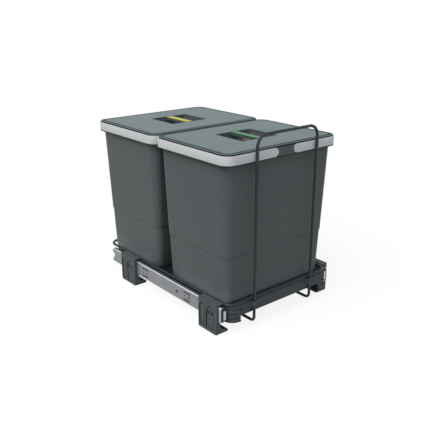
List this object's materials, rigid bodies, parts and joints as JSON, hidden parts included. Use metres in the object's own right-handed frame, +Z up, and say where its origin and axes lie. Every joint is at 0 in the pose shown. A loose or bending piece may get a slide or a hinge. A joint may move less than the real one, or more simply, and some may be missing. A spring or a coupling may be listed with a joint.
{
  "type": "pull out bin frame",
  "caption": "Floor-mounted pull-out frame for a base cabinet: telescopic ball-bearing runners carry a wire and rail carriage with a pull hoop and two lidded waste buckets",
  "frame": {"origin": "on the cabinet floor, under the middle of the object's bounding box", "axes": "+X across the cabinet to the right, +Y from the front hoop to the back, +Z up"},
  "size_m": [0.321, 0.4646, 0.39],
  "materials": {
    "bracket_plastic": "moulded, fine grain",
    "runner_steel": "bright zinc",
    "cage_steel": "stamped strip",
    "ball_steel": "polished",
    "screw_steel": "zinc",
    "dark_screw_steel": "blackened",
    "buffer_rubber": "moulded",
    "frame_steel": "satin powder coat",
    "corner_plastic": "moulded, fine grain",
    "bucket_plastic": "moulded, fine grain",
    "band_plastic": "moulded, smooth",
    "lid_edge_plastic": "moulded, fine grain",
    "lid_panel_plastic": "moulded, fine grain",
    "tab_green": "moulded, smooth",
    "tab_yellow": "moulded, smooth"
  },
  "bodies": {
    "cabinet_side": {"bracket_front_left": "bracket_plastic", "bracket_front_right": "bracket_plastic", "bracket_rear_left": "bracket_plastic", "bracket_rear_right": "bracket_plastic", "outer_member_left": "runner_steel", "outer_member_right": "runner_steel", "member_screws_left": "dark_screw_steel", "member_screws_right": "dark_screw_steel", "rear_buffer_left": "buffer_rubber", "rear_buffer_right": "buffer_rubber"},
    "outer_cage_set_left": {"outer_cage_left": "cage_steel", "outer_balls_left": "ball_steel"},
    "middle_left": {"middle_member_left": "runner_steel", "front_bumper_left": "buffer_rubber"},
    "inner_cage_set_left": {"inner_cage_left": "cage_steel", "inner_balls_left": "ball_steel"},
    "outer_cage_set_right": {"outer_cage_right": "cage_steel", "outer_balls_right": "ball_steel"},
    "middle_right": {"middle_member_right": "runner_steel", "front_bumper_right": "buffer_rubber"},
    "inner_cage_set_right": {"inner_cage_right": "cage_steel", "inner_balls_right": "ball_steel"},
    "carriage": {"inner_member_left": "runner_steel", "inner_member_right": "runner_steel", "side_rail_left": "frame_steel", "side_rail_right": "frame_steel", "rail_screws_left": "screw_steel", "rail_screws_right": "screw_steel", "corner_block_left": "corner_plastic", "corner_block_right": "corner_plastic", "front_rail": "corner_plastic", "cross_rail": "frame_steel", "base_ring": "frame_steel", "base_wires": "frame_steel", "pull_hoop": "frame_steel", "hoop_clips": "corner_plastic"},
    "bin_front": {"bucket_front": "bucket_plastic", "rim_band_front": "band_plastic"},
    "lid_front": {"lid_frame_front": "lid_edge_plastic", "lid_panel_front": "lid_panel_plastic", "lid_handle_front": "lid_edge_plastic", "lid_tab_front": "tab_green"},
    "bin_rear": {"bucket_rear": "bucket_plastic", "rim_band_rear": "band_plastic"},
    "lid_rear": {"lid_frame_rear": "lid_edge_plastic", "lid_panel_rear": "lid_panel_plastic", "lid_handle_rear": "lid_edge_plastic", "lid_tab_rear": "tab_yellow"}
  },
  "joints": [
    {"name": "carriage_slide", "type": "slide", "parent": "cabinet_side", "child": "carriage", "axis": [0, -1, 0], "range_m": [0, 0.4]},
    {"name": "middle_slide_left", "type": "slide", "parent": "cabinet_side", "child": "middle_left", "axis": [0, -1, 0], "range_m": [0, 0.2]},
    {"name": "outer_cage_slide_left", "type": "slide", "parent": "cabinet_side", "child": "outer_cage_set_left", "axis": [0, -1, 0], "range_m": [0, 0.1]},
    {"name": "inner_cage_slide_left", "type": "slide", "parent": "cabinet_side", "child": "inner_cage_set_left", "axis": [0, -1, 0], "range_m": [0, 0.3]},
    {"name": "middle_slide_right", "type": "slide", "parent": "cabinet_side", "child": "middle_right", "axis": [0, -1, 0], "range_m": [0, 0.2]},
    {"name": "outer_cage_slide_right", "type": "slide", "parent": "cabinet_side", "child": "outer_cage_set_right", "axis": [0, -1, 0], "range_m": [0, 0.1]},
    {"name": "inner_cage_slide_right", "type": "slide", "parent": "cabinet_side", "child": "inner_cage_set_right", "axis": [0, -1, 0], "range_m": [0, 0.3]},
    {"name": "bin_lift_front", "type": "slide", "parent": "carriage", "child": "bin_front", "axis": [0, 0, 1], "range_m": [0, 0.3]},
    {"name": "lid_lift_front", "type": "slide", "parent": "bin_front", "child": "lid_front", "axis": [0, 0, 1], "range_m": [0, 0.06]},
    {"name": "bin_lift_rear", "type": "slide", "parent": "carriage", "child": "bin_rear", "axis": [0, 0, 1], "range_m": [0, 0.3]},
    {"name": "lid_lift_rear", "type": "slide", "parent": "bin_rear", "child": "lid_rear", "axis": [0, 0, 1], "range_m": [0, 0.06]}
  ],
  "couplings": [
    {"joint": "middle_slide_left", "follows": "carriage_slide", "ratio": 0.5},
    {"joint": "outer_cage_slide_left", "follows": "carriage_slide", "ratio": 0.25},
    {"joint": "inner_cage_slide_left", "follows": "carriage_slide", "ratio": 0.75},
    {"joint": "middle_slide_right", "follows": "carriage_slide", "ratio": 0.5},
    {"joint": "outer_cage_slide_right", "follows": "carriage_slide", "ratio": 0.25},
    {"joint": "inner_cage_slide_right", "follows": "carriage_slide", "ratio": 0.75}
  ]
}
